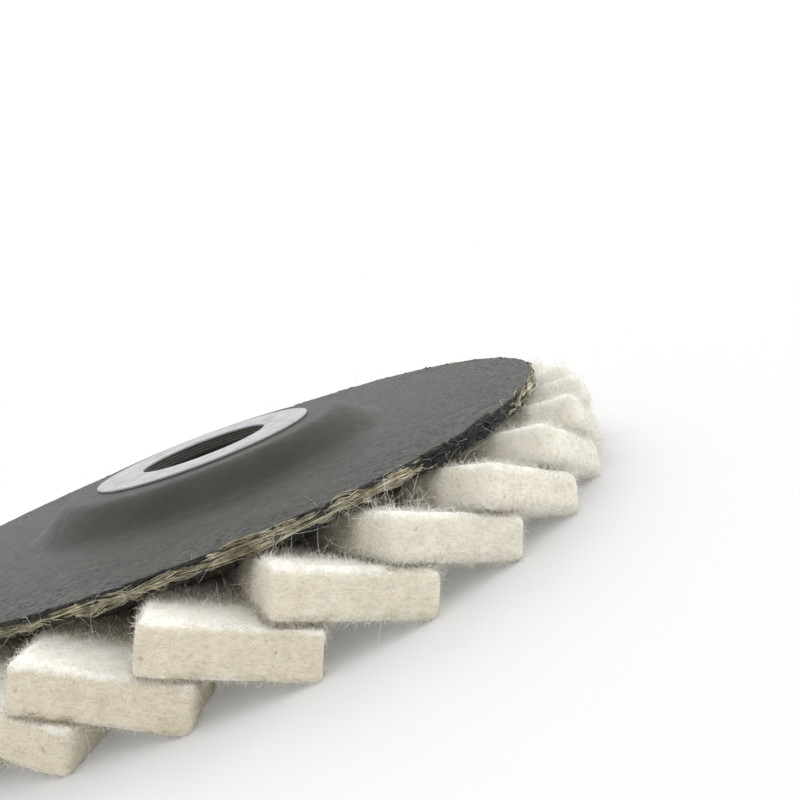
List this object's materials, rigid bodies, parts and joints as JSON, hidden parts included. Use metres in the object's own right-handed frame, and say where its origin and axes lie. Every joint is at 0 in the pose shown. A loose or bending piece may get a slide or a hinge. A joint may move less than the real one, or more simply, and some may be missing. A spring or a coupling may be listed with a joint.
{
  "type": "felt flap polishing disc",
  "caption": "Round flap disc of shingled wool felt blocks under a raised-hub glass laminate backing plate with a metal arbor ring.",
  "frame": {"origin": "on the spin axis, at the working face: the plane through the lowest edges of the felt", "axes": "+Z along the spin axis, towards the grinder side; +X through the middle of felt_flap_01"},
  "size_m": [0.0956, 0.0956, 0.015],
  "materials": {
    "black_skin": "satin black resin skin, dusty",
    "glass_laminate": "resin-bonded glass cloth, rough at cut edges",
    "ring_metal": "thin satin metal ring",
    "adhesive": "cured dark epoxy",
    "felt": "pressed wool felt, fuzzy"
  },
  "bodies": {
    "root": {"top_skin": "black_skin", "glass_ply_1": "glass_laminate", "glass_ply_2": "glass_laminate", "glass_ply_3": "glass_laminate", "bottom_skin": "black_skin", "arbor_ring": "ring_metal", "adhesive_bed": "adhesive", "felt_flap_01": "felt", "felt_flap_02": "felt", "felt_flap_03": "felt", "felt_flap_04": "felt", "felt_flap_05": "felt", "felt_flap_06": "felt", "felt_flap_07": "felt", "felt_flap_08": "felt", "felt_flap_09": "felt", "felt_flap_10": "felt", "felt_flap_11": "felt", "felt_flap_12": "felt", "felt_flap_13": "felt", "felt_flap_14": "felt", "felt_flap_15": "felt", "felt_flap_16": "felt", "felt_flap_17": "felt", "felt_flap_18": "felt", "felt_flap_19": "felt", "felt_flap_20": "felt", "felt_flap_21": "felt", "felt_flap_22": "felt", "felt_flap_23": "felt", "felt_flap_24": "felt", "felt_flap_25": "felt", "felt_flap_26": "felt", "felt_flap_27": "felt", "felt_flap_28": "felt"}
  },
  "joints": []
}
